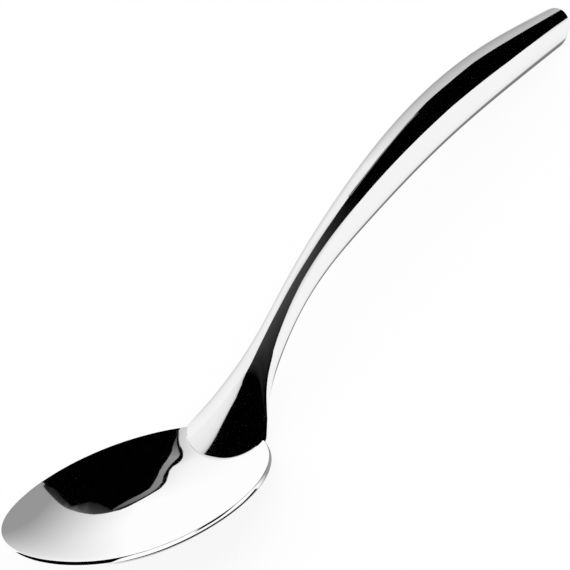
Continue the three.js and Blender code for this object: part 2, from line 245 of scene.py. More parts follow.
# %% [markdown]
# ## Laying the spoon on the table
# The curves above are drawn level with the rim. The real spoon tips up on the back of its bowl until
# the end of its handle touches the table too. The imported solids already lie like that, so the tilt is
# found the same way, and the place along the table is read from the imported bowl.

# %% Tilt and place
BOWL_FLAT = 0.2
HANDLE_FLAT = 0.35
END_WELD_WIDTH = 0.8
CAP_THICKNESS = 1.5
END_SLANT = 0.92
MM = 0.001

crown_end = float(seam_height(end_at) + crown_height(end_at))
shell_cut = end_at - END_WELD_WIDTH - CAP_THICKNESS
cap_seat = shell_cut + END_WELD_WIDTH


def cut_x(turn_at, inset, cut_at, shape):
    """Where lines along the skin meet the slanted cut that reaches cut_at at the crown."""

    def beyond(x):
        return x - cut_at + END_SLANT * (crown_end - skin(x, turn_at(x), inset)[..., 2])

    return first_clear(beyond, np.full(shape, shank_at), np.full(shape, end_at + CAP_THICKNESS))


back_points, back_normals, _ = dish(np.linspace(0, 1, 201), 0.0)
back_line = back_points - half_sheet * back_normals
keel = -math.pi / 2
end_line = np.array(
    [skin(cut_x(lambda x: keel, 0.0, cut, ()), keel) for cut in (shell_cut, end_at)]
)


def lowest(points, tilt):
    return (points[:, 2] * math.cos(tilt) - points[:, 0] * math.sin(tilt)).min()


def lean(tilt):
    return lowest(back_line, tilt) + BOWL_FLAT - lowest(end_line, tilt) - HANDLE_FLAT


tilt = float(first_clear(lean, 0.0, 0.6))
lift = -lowest(back_line, tilt) - BOWL_FLAT
lay = np.array(
    [[math.cos(tilt), 0, math.sin(tilt)], [0, 1, 0], [-math.sin(tilt), 0, math.cos(tilt)]]
)
tip_point, tip_normal, tip_out = dish(1.0, math.pi)
rim_angles = np.linspace(0, math.pi, 5)[:, None]
tip_edge = tip_point + half_sheet * (np.cos(rim_angles) * tip_normal + np.sin(rim_angles) * tip_out)
place = np.array([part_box("bowl")[0].x / MM - (tip_edge @ lay.T)[:, 0].min(), 0, lift])


def on_table(points):
    """Rim frame to the table, in metres; what would reach below the table is dressed flat."""
    laid = points @ lay.T + place
    laid[..., 2] = np.maximum(laid[..., 2], 0)
    return laid * MM


print("tilt", round(math.degrees(tilt), 2), "degrees, lift", round(lift, 2), "mm")

# %% [markdown]
# ## From curves to steel
# Each piece is made of patches: grids of points, each with the direction that its surface faces. A
# subdivision surface would round these shapes off by its own rules. Grids taken straight from the
# curves keep them exact, and giving each corner its true normal makes the mirror run on without a
# line from a shell to the weld beside it, as it does after polishing. Each piece is left out of the
# others' mirror images, because reflections of reflections would break up the clear shapes.

# %% Patch helpers and the piece maker


def ruled(edge_a, edge_b, towards):
    """A flat-faced strip between two edges that faces roughly the given way."""
    points = np.stack([edge_a, edge_b])
    return points, np.broadcast_to(np.array(towards, float), points.shape), True


def smooth(points, normals):
    return points, normals, False


def quad_corners(grid):
    return np.stack([grid[:-1, :-1], grid[:-1, 1:], grid[1:, 1:], grid[1:, :-1]], 2).reshape(-1, 4, 3)


def steel_piece(name, node, patches, finish):
    """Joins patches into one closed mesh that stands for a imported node."""
    corners = []
    facings = []
    for points, normals, flat in patches:
        laid = quad_corners(on_table(points))
        facing = quad_corners(np.asarray(normals) @ lay.T)
        across = np.cross(laid[:, 2] - laid[:, 0], laid[:, 3] - laid[:, 1])
        back_to_front = (across * facing.mean(1)).sum(1) < 0
        laid[back_to_front] = laid[back_to_front][:, ::-1]
        facing[back_to_front] = facing[back_to_front][:, ::-1]
        if flat:
            across[back_to_front] *= -1
            length = np.maximum(np.linalg.norm(across, axis=1, keepdims=True), 1e-12)
            facing = np.repeat((across / length)[:, None], 4, 1)
        corners.append(laid)
        facings.append(facing)
    corners = np.concatenate(corners)
    facings = np.concatenate(facings)
    keys, index = np.unique(np.round(corners.reshape(-1, 3), 7), axis=0, return_inverse=True)
    faces = []
    loop_normals = []
    for face, facing in zip(index.reshape(-1, 4).tolist(), facings):
        kept = [k for k in range(4) if face[k] != face[k - 1]]
        if len(kept) > 2:
            faces.append([face[k] for k in kept])
            loop_normals.extend(facing[k] for k in kept)
    mesh = bpy.data.meshes.new(name)
    mesh.from_pydata(keys.tolist(), [], faces)
    mesh.polygons.foreach_set("use_smooth", [True] * len(faces))
    mesh.normals_split_custom_set(np.array(loop_normals).tolist())
    mesh.materials.append(finish)
    piece = bpy.data.objects.new(name, mesh)
    bpy.context.scene.collection.objects.link(piece)
    piece.visible_glossy = False
    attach(piece, "root")
    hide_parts(node)
    print(name, "stands for", node, "with", len(faces), "faces")
    return piece


# %% [markdown]
# ## Polished steel
# Stainless steel polished on a wheel is nearly a perfect mirror, but not a perfect one: the wheel
# leaves a faint haze that changes from place to place, and hairlines along its stroke. A flat colour
# and one roughness would look like plastic film. So two noises, one broad and one drawn out along the
# stroke, move the roughness and the colour a little, and a bump far below a micrometre breaks up the
# highlights. The weld metal, ground flush by hand, keeps a little more haze than the pressed shells.

# %% Finishes
BOWL_TINTS = ((0.96, 0.96, 0.965, 1), (0.99, 0.99, 0.99, 1))
BOWL_EDGE = (1, 1, 1, 1)
# The back's tints and edge tint are darker than the inside's: painted shade for the shadowed table that
# the back of the bowl would mirror.
BACK_PAINTED_SHADE_TINTS = ((0.5, 0.5, 0.505, 1), (0.62, 0.62, 0.625, 1))
BACK_PAINTED_SHADE_EDGE = (0.35, 0.35, 0.355, 1)
HANDLE_EDGE = (0.62, 0.62, 0.63, 1)
HANDLE_TINTS = ((0.87, 0.87, 0.88, 1), (0.94, 0.94, 0.945, 1))
BROAD_SCALE = 35.0
BROAD_DETAIL = 3.0
HAIRLINE_DETAIL = 4.0
HAIRLINE_SPREAD = (0.3, 0.7)
HAIRLINE_BUMP = 0.02
HAIRLINE_HEIGHT = 2e-6


def link(tree, source, target):
    tree.links.new(source, target)


def polished_steel(name, tints, edge_tint, haze_low, haze_high, stroke):
    """Mirror steel whose haze runs between two roughness values, with hairlines along the stroke."""
    finish = bpy.data.materials.new(name)
    finish.use_nodes = True
    tree = finish.node_tree
    steel = tree.nodes["Principled BSDF"]
    steel.inputs["Metallic"].default_value = 1.0
    steel.inputs["Specular Tint"].default_value = edge_tint
    spot = tree.nodes.new("ShaderNodeTexCoord")
    broad = tree.nodes.new("ShaderNodeTexNoise")
    broad.inputs["Scale"].default_value = BROAD_SCALE
    broad.inputs["Detail"].default_value = BROAD_DETAIL
    link(tree, spot.outputs["Object"], broad.inputs["Vector"])
    drawn = tree.nodes.new("ShaderNodeMapping")
    drawn.inputs["Scale"].default_value = stroke
    link(tree, spot.outputs["Object"], drawn.inputs["Vector"])
    hairline = tree.nodes.new("ShaderNodeTexNoise")
    hairline.inputs["Scale"].default_value = 1.0
    hairline.inputs["Detail"].default_value = HAIRLINE_DETAIL
    link(tree, drawn.outputs["Vector"], hairline.inputs["Vector"])
    tint = tree.nodes.new("ShaderNodeMix")
    tint.data_type = "RGBA"
    tint.inputs["A"].default_value = tints[0]
    tint.inputs["B"].default_value = tints[1]
    link(tree, broad.outputs["Fac"], tint.inputs["Factor"])
    link(tree, tint.outputs["Result"], steel.inputs["Base Color"])
    haze = tree.nodes.new("ShaderNodeMapRange")
    haze.inputs["From Min"].default_value = HAIRLINE_SPREAD[0]
    haze.inputs["From Max"].default_value = HAIRLINE_SPREAD[1]
    haze.inputs["To Min"].default_value = haze_low
    haze.inputs["To Max"].default_value = haze_high
    link(tree, hairline.outputs["Fac"], haze.inputs["Value"])
    link(tree, haze.outputs["Result"], steel.inputs["Roughness"])
    bump = tree.nodes.new("ShaderNodeBump")
    bump.inputs["Strength"].default_value = HAIRLINE_BUMP
    bump.inputs["Distance"].default_value = HAIRLINE_HEIGHT
    link(tree, hairline.outputs["Fac"], bump.inputs["Height"])
    link(tree, bump.outputs["Normal"], steel.inputs["Normal"])
    return finish


ALONG_HANDLE = (150.0, 2500.0, 2500.0)
ACROSS_BOWL = (2200.0, 180.0, 2200.0)
bowl_mirror = polished_steel("bowl_mirror", BOWL_TINTS, BOWL_EDGE, 0.015, 0.045, ACROSS_BOWL)
# The back's finish is darker by painted shade, not by its steel.
back_painted_shade_mirror = polished_steel("back_painted_shade_mirror", BACK_PAINTED_SHADE_TINTS, BACK_PAINTED_SHADE_EDGE, 0.02, 0.06, ACROSS_BOWL)
handle_mirror = polished_steel("handle_mirror", HANDLE_TINTS, HANDLE_EDGE, 0.015, 0.045, ALONG_HANDLE)
weld_mirror = polished_steel("weld_mirror", HANDLE_TINTS, HANDLE_EDGE, 0.02, 0.06, ALONG_HANDLE)
print("finishes:", [finish.name for finish in bpy.data.materials if "mirror" in finish.name])

# %% [markdown]
# ## Bowl
# The bowl is pressed from one sheet and trimmed. The cut edge is polished almost flat, with a small
# break towards the inside and a big one towards the back. A Solidify modifier would leave a sharp
# square edge. Here the inside and the back are the dish moved out by half the sheet on each side, and
# the profile of the edge runs round the rim between them. The back takes a darker tint than the
# inside. That tint is painted shade: it stands for the shadowed table under the bowl, which the back
# would mirror, and it makes the back stand out from the white table.

# %% Bowl piece
BOWL_TURNS = 256
BOWL_RINGS = 72
RIM_REACH = 0.72
INNER_BREAK = 0.2
OUTER_BREAK = 0.6
BREAK_STEPS = 6
EDGE_CROWN = math.radians(8)

around_bowl = np.linspace(0, 2 * math.pi, BOWL_TURNS + 1)[None]
rings = np.linspace(0, 1, BOWL_RINGS + 1)[:, None]
dish_points, dish_normals, _ = dish(rings, around_bowl)
rim_points, rim_normals, rim_out = dish(1.0, around_bowl)
inner_turn = np.linspace(0, math.pi / 2 - EDGE_CROWN, BREAK_STEPS + 1)
outer_turn = math.pi - inner_turn[::-1]
edge_turn = np.concatenate([[0], inner_turn, outer_turn, [math.pi]])
edge_reach = np.concatenate(
    [
        [0],
        RIM_REACH - INNER_BREAK * (1 - np.sin(inner_turn)),
        RIM_REACH - OUTER_BREAK * (1 - np.sin(outer_turn)),
        [0],
    ]
)
edge_rise = np.concatenate(
    [
        [half_sheet],
        half_sheet - INNER_BREAK * (1 - np.cos(inner_turn)),
        OUTER_BREAK * (1 + np.cos(outer_turn)) - half_sheet,
        [-half_sheet],
    ]
)
edge_turn, edge_reach, edge_rise = (row[:, None, None] for row in (edge_turn, edge_reach, edge_rise))
edge_facing = np.cos(edge_turn) * rim_normals + np.sin(edge_turn) * rim_out
bowl = steel_piece(
    "polished_bowl",
    "bowl",
    [
        smooth(dish_points + half_sheet * dish_normals, dish_normals),
        smooth(rim_points + edge_rise * rim_normals + edge_reach * rim_out, edge_facing),
        smooth(dish_points - half_sheet * dish_normals, -dish_normals),
    ],
    bowl_mirror,
)
# The back faces take the darker finish: painted shade for the shadowed table under the bowl.
bowl.data.materials.append(back_painted_shade_mirror)
back_faces = BOWL_TURNS * BOWL_RINGS
for face in bowl.data.polygons[-back_faces:]:
    face.material_index = 1
print("rim edge is nearly flat for", round(2 * half_sheet - INNER_BREAK - OUTER_BREAK, 2), "mm")

# %% [markdown]
# ## Handle shells
# The two halves of the handle are pressed from thinner sheet. The upper half stands with its flared
# mouth on the inside of the bowl, and the lower half butts on the outside of the rim. Each half is a
# grid of lines that run from the bowl to the slanted end, more closely spaced where it bends.

# %% Shell grids
SHELL_LINES = 44
SHELL_ROWS = 240
ROW_EASE = 0.35
SEAM_LEAD = 0.7


def weld_turn(x, full):
    return np.arcsin(np.minimum((WELD_HALF / full(x)) ** (1 / edge_power(x)), 1))


def shell_turn(share, half):
    """Turn of a line of the shell, which stops short of the seam by half the weld."""
    full = crown_height if half > 0 else keel_depth

    def turn_at(x):
        edge = weld_turn(x, full)
        return half * (edge + (math.pi - 2 * edge) * share)

    return turn_at


def on_bowl(turn_at, inset):
    """Where lines of the upper skin meet the inside of the bowl."""

    def above(x):
        points = skin(x, turn_at(x), inset)
        return points[..., 2] - sheet_height(x, points[..., 1], 1) - SEAT_CLEARANCE

    return above


def outside_rim(turn_at, inset, lead=0.0):
    """Where lines of the skin clear the outside of the rim."""

    def clear(x):
        y = skin(x, turn_at(x), inset)[..., 1]
        share, _ = dish_share(x, y)
        return (share - 1) * np.hypot(x, y) / share - half_sheet - SEAT_CLEARANCE - lead

    return clear


def start_of(test, shape):
    return first_clear(test, np.full(shape, heel_at - BOWL_LENGTH / 4), np.full(shape, flare_at))


def rows_between(start, stop):
    share = np.linspace(0, 1, SHELL_ROWS + 1)[:, None]
    return start + (stop - start) * share * (ROW_EASE + (1 - ROW_EASE) * share)


def shell_patches(half, seat):
    """Outer skin, inner skin and the four edges of one half shell."""
    share = np.linspace(0, 1, SHELL_LINES + 1)
    turn_at = shell_turn(share, half)
    skins = []
    for inset in (0.0, SHELL_WALL):
        start = start_of(seat(turn_at, inset), share.shape)
        x = rows_between(start, cut_x(turn_at, inset, shell_cut, share.shape))
        facing = skin_normal(x, turn_at(x), half)
        skins.append((skin(x, turn_at(x), inset), facing))
    (outer, facing), (inner, _) = skins
    edges = [
        ruled(outer[0], inner[0], (-1, 0, 0)),
        ruled(outer[-1], inner[-1], (1, 0, 0)),
        ruled(outer[:, 0], inner[:, 0], (0, 1, -half)),
        ruled(outer[:, -1], inner[:, -1], (0, -1, -half)),
    ]
    return [smooth(outer, facing), smooth(inner, -facing), *edges]


upper_patches = shell_patches(1, on_bowl)
lower_patches = shell_patches(-1, outside_rim)
steel_piece(
    "polished_upper_shell",
    "handle_upper_shell",
    upper_patches,
    handle_mirror,
)
steel_piece(
    "polished_lower_shell",
    "handle_lower_shell",
    lower_patches,
    handle_mirror,
)

# %% [markdown]
# ## Seam welds
# A bead of weld fills the slot between the two shells on each side and is ground flush. It carries on
# the same skin, so after polishing only a close look finds it. It is made from the same curves as the
# shells, in one strip above the seam line and one below it.

# %% Seam weld pieces
SEAM_LINES = 5


def seam_strip(side, half):
    """Half of a seam weld, from the seam line to the edge of one shell."""
    full = crown_height if half > 0 else keel_depth
    reach = np.linspace(0, 1, SEAM_LINES + 1)
    first = 0.0 if side > 0 else math.pi

    def turn_at(x):
        return half * np.abs(first - reach * weld_turn(x, full))

    def edge_turn(x):
        return half * np.abs(first - weld_turn(x, full))

    def seam_turn(x):
        return first + 0 * x

    strips = []
    for inset in (0.0, SHELL_WALL):
        seat = on_bowl if half > 0 else outside_rim
        edge_start = start_of(seat(edge_turn, inset), ())
        seam_start = start_of(outside_rim(seam_turn, inset, SEAM_LEAD), ())
        start = seam_start + (edge_start - seam_start) * reach
        x = rows_between(start, cut_x(turn_at, inset, shell_cut, reach.shape))
        strips.append((skin(x, turn_at(x), inset), skin_normal(x, turn_at(x), half)))
    return strips


for side, hand in ((1, "left"), (-1, "right")):
    patches = []
    for half in (1, -1):
        (outer, facing), (inner, _) = seam_strip(side, half)
        patches += [
            smooth(outer, facing),
            smooth(inner, -facing),
            ruled(outer[0], inner[0], (-1, 0, 0)),
            ruled(outer[-1], inner[-1], (1, 0, 0)),
            ruled(outer[:, -1], inner[:, -1], (0, 0, half)),
        ]
    steel_piece(
        "polished_seam_" + hand,
        "seam_weld_" + hand,
        patches,
        weld_mirror,
    )

# %% [markdown]
# ## Heel welds
# Inside the bowl a small fillet runs round the mouth of the upper shell. It is what makes the crease
# there look soft and not cut with a knife. Each cross-section is a curve that leaves the shell along
# its line and lands on the bowl along the sheet. Behind the bowl a flat bead blends the lower shell
# into the sheet.

# %% Heel weld pieces
HEEL_FILLET = 0.6
FILLET_STEPS = 8
BEAD_STEPS = 10
BEAD_MARGIN = 0.2
BEAD_FADE = 1.4
skim = SEAT_CLEARANCE / 3

mouth = upper_patches[0][0]
foot = mouth[0]
up_shell = unit(mouth[1] - mouth[0])
foot_share, foot_turn = dish_share(foot[:, 0], foot[:, 1])
_, foot_normals, _ = dish(foot_share, foot_turn)
on_sheet = unit(up_shell - (up_shell * foot_normals).sum(1, keepdims=True) * foot_normals)
toe = foot - HEEL_FILLET * on_sheet
toe[:, 2] = sheet_height(toe[:, 0], toe[:, 1], 1) + skim
head = foot + HEEL_FILLET * up_shell
step = np.linspace(0, 1, FILLET_STEPS + 1)[:, None, None]
fillet = (1 - step) ** 2 * head + 2 * step * (1 - step) * foot + step**2 * toe
head_facing = upper_patches[0][1][0]
fillet_facing = unit((1 - step) * head_facing + step * foot_normals)
steel_piece(
    "polished_heel_fillet",
    "heel_weld_upper",
    [
        smooth(fillet, fillet_facing),
        ruled(head, foot, (0, 0, -1)),
        ruled(foot, toe, (0, 0, -1)),
        ruled(fillet[:, 0], np.broadcast_to(foot[0], fillet[:, 0].shape), (0, 1, 0)),
        ruled(fillet[:, -1], np.broadcast_to(foot[-1], fillet[:, -1].shape), (0, -1, 0)),
    ],
    weld_mirror,
)

bead_edge = round(SHELL_LINES * BEAD_MARGIN)
bead_foot = lower_patches[0][0][0][bead_edge:-bead_edge]
bead_reach = np.hypot(bead_foot[:, 0], bead_foot[:, 1])
fade = np.linspace(0, 1, BEAD_STEPS + 1)[:, None]
inwards = 1 - (2 * SEAT_CLEARANCE + HEEL_BLEND * fade) / bead_reach
bead_x = bead_foot[:, 0] * inwards
bead_y = bead_foot[:, 1] * inwards
under = sheet_height(bead_x, bead_y, -1) - skim
thick = np.maximum(HEEL_BEAD * (1 - fade) ** BEAD_FADE, SEAT_CLEARANCE)
bead_seat = np.stack([bead_x, bead_y, under], -1)
bead_skin = np.stack([bead_x, bead_y, under - thick], -1)
bead_share, bead_turn = dish_share(bead_x, bead_y)
_, bead_normals, _ = dish(bead_share, bead_turn)
# The bead takes the back's finish, whose darker tint is painted shade.
steel_piece(
    "polished_heel_bead",
    "heel_weld_lower",
    [
        smooth(bead_skin, -bead_normals),
        smooth(bead_seat, bead_normals),
        ruled(bead_skin[0], bead_seat[0], (1, 0, 0)),
        ruled(bead_skin[-1], bead_seat[-1], (-1, 0, 0)),
        ruled(bead_skin[:, 0], bead_seat[:, 0], (0, 1, 0)),
        ruled(bead_skin[:, -1], bead_seat[:, -1], (0, -1, 0)),
    ],
    back_painted_shade_mirror,
)

# %% [markdown]
# ## End of the handle
# The open end is cut off at a slant, and a flat cap is welded on and polished over, so the crown runs
# out to a crisp edge. The cap has a vent hole, because air in a closed handle swells while it is
# welded. The hole is plugged afterwards, so that no dishwater gets in.

# %% End weld, cap and plug
CAP_EDGE_BREAK = 0.4
VENT_RADIUS = 1.6
PLUG_CLEARANCE = 0.05
PLUG_EDGE = 0.15
END_TURNS = 120
EDGE_STEPS = 6

upper_turns = np.linspace(0, math.pi, END_TURNS // 2 + 1)
cap_facing = unit(np.array([1, 0, -END_SLANT]))


def end_ring(turns, inset, cut_at):
    x = cut_x(lambda x: turns, inset, cut_at, turns.shape)
    return skin(x, turns, inset), x


def band(half, cut_a, cut_b):
    """A band of the handle's skin between two slanted cuts."""
    turns = half * upper_turns
    ring_a, x_a = end_ring(turns, 0.0, cut_a)
    ring_b, x_b = end_ring(turns, 0.0, cut_b)
    facing = np.stack([skin_normal(x_a, turns, half), skin_normal(x_b, turns, half)])
    return smooth(np.stack([ring_a, ring_b]), facing)


def vent_ring(radius, cut_at, turns):
    z = float(seam_height(end_at)) + radius * np.sin(turns)
    return np.stack([cut_at - END_SLANT * (crown_end - z), radius * np.cos(turns), z], -1)


def rounded_edge(half):
    """Quarter round from the skin to the face of the cap."""
    turns = half * upper_turns
    ring_a, x_a = end_ring(turns, 0.0, end_at - CAP_EDGE_BREAK)
    ring_b, _ = end_ring(turns, CAP_EDGE_BREAK, end_at)
    side_facing = skin_normal(x_a, turns, half)
    angle = np.linspace(0, math.pi / 2, EDGE_STEPS + 1)[:, None, None]
    bulge = np.cos(angle) * side_facing + np.sin(angle) * cap_facing
    chord = 0.5 * (1 - np.cos(2 * angle))
    line = ring_a + (ring_b - ring_a) * chord
    swell = np.sin(2 * angle) * CAP_EDGE_BREAK * (math.sqrt(0.5) - 0.5) * unit(bulge)
    return smooth(line + swell, unit(bulge))


weld_patches = []
cap_patches = []
plug_patches = []
plug_radius = VENT_RADIUS - PLUG_CLEARANCE
for half in (1, -1):
    turns = half * upper_turns
    inner_a, _ = end_ring(turns, SHELL_WALL, shell_cut)
    inner_b, _ = end_ring(turns, SHELL_WALL, cap_seat)
    outer_a, _ = end_ring(turns, 0.0, shell_cut)
    outer_b, _ = end_ring(turns, 0.0, cap_seat)
    weld_patches += [
        band(half, shell_cut, cap_seat),
        ruled(outer_a, inner_a, -cap_facing),
        ruled(outer_b, inner_b, cap_facing),
        smooth(np.stack([inner_a, inner_b]), -band(half, shell_cut, cap_seat)[1]),
    ]
    face_edge, _ = end_ring(turns, CAP_EDGE_BREAK, end_at)
    hole_front = vent_ring(VENT_RADIUS, end_at, turns)
    hole_back = vent_ring(VENT_RADIUS, cap_seat, turns)
    hole_facing = np.stack([0 * turns, -np.cos(turns), -np.sin(turns)], -1)
    cap_patches += [
        band(half, cap_seat, end_at - CAP_EDGE_BREAK),
        rounded_edge(half),
        ruled(face_edge, hole_front, cap_facing),
        smooth(np.stack([hole_front, hole_back]), np.stack([hole_facing, hole_facing])),
        ruled(hole_back, outer_b, -cap_facing),
    ]
    plug_back = vent_ring(plug_radius, cap_seat, turns)
    plug_shoulder = vent_ring(plug_radius, end_at - PLUG_EDGE, turns)
    plug_front = vent_ring(plug_radius - PLUG_EDGE, end_at, turns)
    plug_middle = vent_ring(0.0, end_at, turns)
    plug_root = vent_ring(0.0, cap_seat, turns)
    plug_patches += [
        smooth(np.stack([plug_back, plug_shoulder]), np.stack([-hole_facing, -hole_facing])),
        smooth(
            np.stack([plug_shoulder, plug_front]),
            np.stack([-hole_facing, np.broadcast_to(cap_facing, hole_facing.shape)]),
        ),
        ruled(plug_front, plug_middle, cap_facing),
        ruled(plug_back, plug_root, -cap_facing),
    ]

steel_piece(
    "polished_end_weld", "end_weld", weld_patches, weld_mirror
)
steel_piece(
    "polished_end_cap", "end_cap", cap_patches, handle_mirror
)
steel_piece(
    "polished_vent_plug", "vent_plug", plug_patches, weld_mirror
)

# %% [markdown]
# ## Studio walls
# A mirror shows only its surroundings, so the studio is part of the finish. The photographer's set is
# white all round. Beyond the handle the white falls off to a soft grey, and that grey is what the tip
# of the bowl shows. The sky is laid out as a flat map round the point straight above the rim, so that
# the falling off can be drawn on it with a straight line.

# %% World
GREY_ZONE = 0.31
ZONE_FROM = -45.0
ZONE_TO = -9.0
ZONE_SIDE = (-25.0, -8.0)


def math_node(tree, operation, first, second=None):
    node = tree.nodes.new("ShaderNodeMath")
    node.operation = operation
    for socket, value in zip(node.inputs, (first, second)):
        if isinstance(value, float):
            socket.default_value = value
        elif value is not None:
            link(tree, value, socket)
    return node.outputs["Value"]


def along_axis(tree, direction, axis):
    """How far the direction of a ray runs along an axis."""
    dot = tree.nodes.new("ShaderNodeVectorMath")
    dot.operation = "DOT_PRODUCT"
    dot.inputs[1].default_value = axis
    link(tree, direction, dot.inputs[0])
    return dot.outputs["Value"]


def ramp(tree, value, low, high, start=0.0, stop=1.0):
    node = tree.nodes.new("ShaderNodeMapRange")
    node.inputs["From Min"].default_value = low
    node.inputs["From Max"].default_value = high
    node.inputs["To Min"].default_value = start
    node.inputs["To Max"].default_value = stop
    link(tree, value, node.inputs["Value"])
    return node.outputs["Result"]


world = bpy.data.worlds.new("white_studio")
bpy.context.scene.world = world
world.use_nodes = True
sky = world.node_tree
ray = sky.nodes.new("ShaderNodeTexCoord").outputs["Generated"]
forward, sideways, upward = (along_axis(sky, ray, lay[:, k]) for k in range(3))
from_zenith = math_node(sky, "DEGREES", math_node(sky, "ARCCOSINE", upward))
heading = math_node(sky, "ARCTAN2", sideways, forward)
map_x = math_node(sky, "MULTIPLY", from_zenith, math_node(sky, "COSINE", heading))
map_y = math_node(sky, "MULTIPLY", from_zenith, math_node(sky, "SINE", heading))
across_zone = math_node(sky, "SUBTRACT", map_y, map_x)
fall_off = ramp(sky, across_zone, ZONE_FROM, ZONE_TO, 1 - GREY_ZONE, 0.0)
fall_off = math_node(sky, "MULTIPLY", fall_off, ramp(sky, map_y, *ZONE_SIDE))
seen = sky.nodes.new("ShaderNodeLightPath")
fall_off = math_node(sky, "MULTIPLY", fall_off, seen.outputs["Is Glossy Ray"])
background = sky.nodes["Background"]
background.inputs["Color"].default_value = (1, 1, 1, 1)
link(sky, math_node(sky, "SUBTRACT", 1.0, fall_off), background.inputs["Strength"])
print("grey zone falls to", GREY_ZONE, "of white")

# %% [markdown]
# ## Studio cards
# A photographer draws the dark shapes in polished steel with black cards. One big card hangs half a
# metre above the spoon: it fills the far side of the bowl and makes the stripe down the handle. Its
# slanted edge has a lighter fold along it, and beyond it the white comes up softly. The cards are
# drawn in the frame of the rim, and only mirrors see them: the camera and the light on the floor pass
# through.

# %% Overhead card
CARD_HEIGHT = 500.0
FOLD_INNER = [(552, 355), (526, 341), (477, 321), (435, 315), (391, 299), (345, 263), (304, 230)]
FOLD_INNER += [(272, 202), (250, 187), (235, 176), (220, 169), (205, 159), (191, 151), (178, 142)]
FOLD_INNER += [(165, 129), (154, 119), (130, 101), (102, 81)]
FOLD_MIDDLE = [(558, 371), (539, 374), (496, 370), (449, 354), (402, 333), (353, 298), (307, 253)]
FOLD_MIDDLE += [(275, 229), (253, 215), (237, 207), (222, 202), (207, 199), (192, 189), (178, 169)]
FOLD_MIDDLE += [(165, 152), (153, 134), (130, 106), (102, 81)]
FOLD_OUTER = [(570, 399), (551, 402), (503, 386), (454, 367), (407, 350), (358, 317), (311, 274)]
FOLD_OUTER += [(277, 243), (255, 231), (240, 233), (225, 230), (209, 220), (194, 205), (179, 187)]
FOLD_OUTER += [(165, 167), (152, 144), (129, 113), (102, 83)]
FOLD_SHINE = [(0, 0.07), (4, 0.23), (8, 0.26), (11, 0.29), (16, 0.08), (17, 0.0)]
NECK_SIDE = [(85, 80), (60, 120), (40, 210), (20, 300), (0, 335), (-52, 338), (-92, 322), (-130, 340)]
NECK_SIDE += [(-174, 363), (-232, 450), (-420, 760)]
FAR_SIDE = [(-1200, 4200), (-4500, 4200), (-4500, -3200), (-420, -500), (-30, -420), (-10, -300)]
FAR_SIDE += [(5, -232), (45, -214), (89, -232), (142, -292), (225, -325), (375, -290), (450, -270)]
LENS_INNER = [(483, -53), (469, -18), (472, 17), (486, 60), (497, 101), (516, 151), (497, 160)]
LENS_INNER += [(472, 173), (480, 224), (516, 297), (552, 355)]
LENS_OUTER = [(491, -57), (499, -22), (503, 9), (515, 62), (529, 113), (541, 158), (547, 193)]
LENS_OUTER += [(563, 264), (577, 322), (578, 360), (570, 399)]
LENS_SHINE = [(0, 0.01), (4, 0.05), (6, 0.15), (8, 0.05), (10, 0.03)]
SOFT_EDGE = [(0, 1.0), (50, 0.5), (110, 0.3), (260, 0.15), (600, 0.0)]
BORDER_GLOWS = [1.0, 0.55, 0.5]
SOFT_WAY = np.array([-0.3, 0.95])


def card(name, points, faces, glows):
    """A card that only mirrors see, from points in the frame of the rim and their brightness."""
    mesh = bpy.data.meshes.new(name)
    mesh.from_pydata(on_table(np.array(points, float)).tolist(), [], faces)
    mesh.attributes.new("glow", "FLOAT", "POINT").data.foreach_set("value", glows)
    piece = bpy.data.objects.new(name, mesh)
    bpy.context.scene.collection.objects.link(piece)
    piece.visible_camera = False
    piece.visible_diffuse = False
    piece.visible_shadow = False
    piece.visible_transmission = False
    mesh.materials.append(card_paint)
    print(name, "has", len(points), "corners")


def black_card(name, outline, height):
    points = [(x, y, height) for x, y in outline]
    card(name, points, [list(range(len(points)))], [0.0] * len(points))


def graded_card(name, edge_a, edge_b, glow_a, glow_b):
    """A strip between two edges, each with its brightness."""
    points = np.concatenate([edge_a, edge_b])
    count = len(edge_a)
    glows = np.concatenate([np.broadcast_to(glow, count) for glow in (glow_a, glow_b)])
    faces = [(k, k + 1, count + k + 1, count + k) for k in range(count - 1)]
    card(name, points, faces, glows)


def shine_along(shine, places):
    """Brightness at places along a strip, from a few set values."""
    return np.interp(places, *zip(*shine))


def overhead(outline):
    return np.array([(x, y, CARD_HEIGHT) for x, y in outline], float)


card_paint = bpy.data.materials.new("card_paint")
card_paint.use_nodes = True
paint = card_paint.node_tree
paint.nodes.clear()
shine = paint.nodes.new("ShaderNodeEmission")
brightness = paint.nodes.new("ShaderNodeAttribute")
brightness.attribute_name = "glow"
link(paint, brightness.outputs["Fac"], shine.inputs["Strength"])
painted = paint.nodes.new("ShaderNodeOutputMaterial")
link(paint, shine.outputs["Emission"], painted.inputs["Surface"])

black_card("overhead_card", FOLD_INNER + NECK_SIDE + FAR_SIDE + LENS_INNER[:-1], CARD_HEIGHT)
fold_glow = shine_along(FOLD_SHINE, range(len(FOLD_INNER)))
lens_glow = shine_along(LENS_SHINE, range(len(LENS_INNER)))
graded_card("fold", overhead(FOLD_INNER), overhead(FOLD_MIDDLE), fold_glow, fold_glow)
graded_card("fold_edge", overhead(FOLD_MIDDLE), overhead(FOLD_OUTER), 0.0, 0.0)
graded_card("lens", overhead(LENS_INNER), overhead(LENS_OUTER), 0.01, lens_glow)
soft_edge = overhead(FOLD_OUTER + NECK_SIDE)
border_at = [0, len(FOLD_OUTER), len(soft_edge) - 1]
border_dim = 1 - np.interp(range(len(soft_edge)), border_at, BORDER_GLOWS)
for (near, near_dim), (far, far_dim) in zip(SOFT_EDGE, SOFT_EDGE[1:]):
    edges = [soft_edge + reach * np.append(SOFT_WAY, 0) for reach in (near, far)]
    glows = [1 - share * border_dim for share in (near_dim, far_dim)]
    graded_card("soft_edge_" + str(far), *edges, *glows)

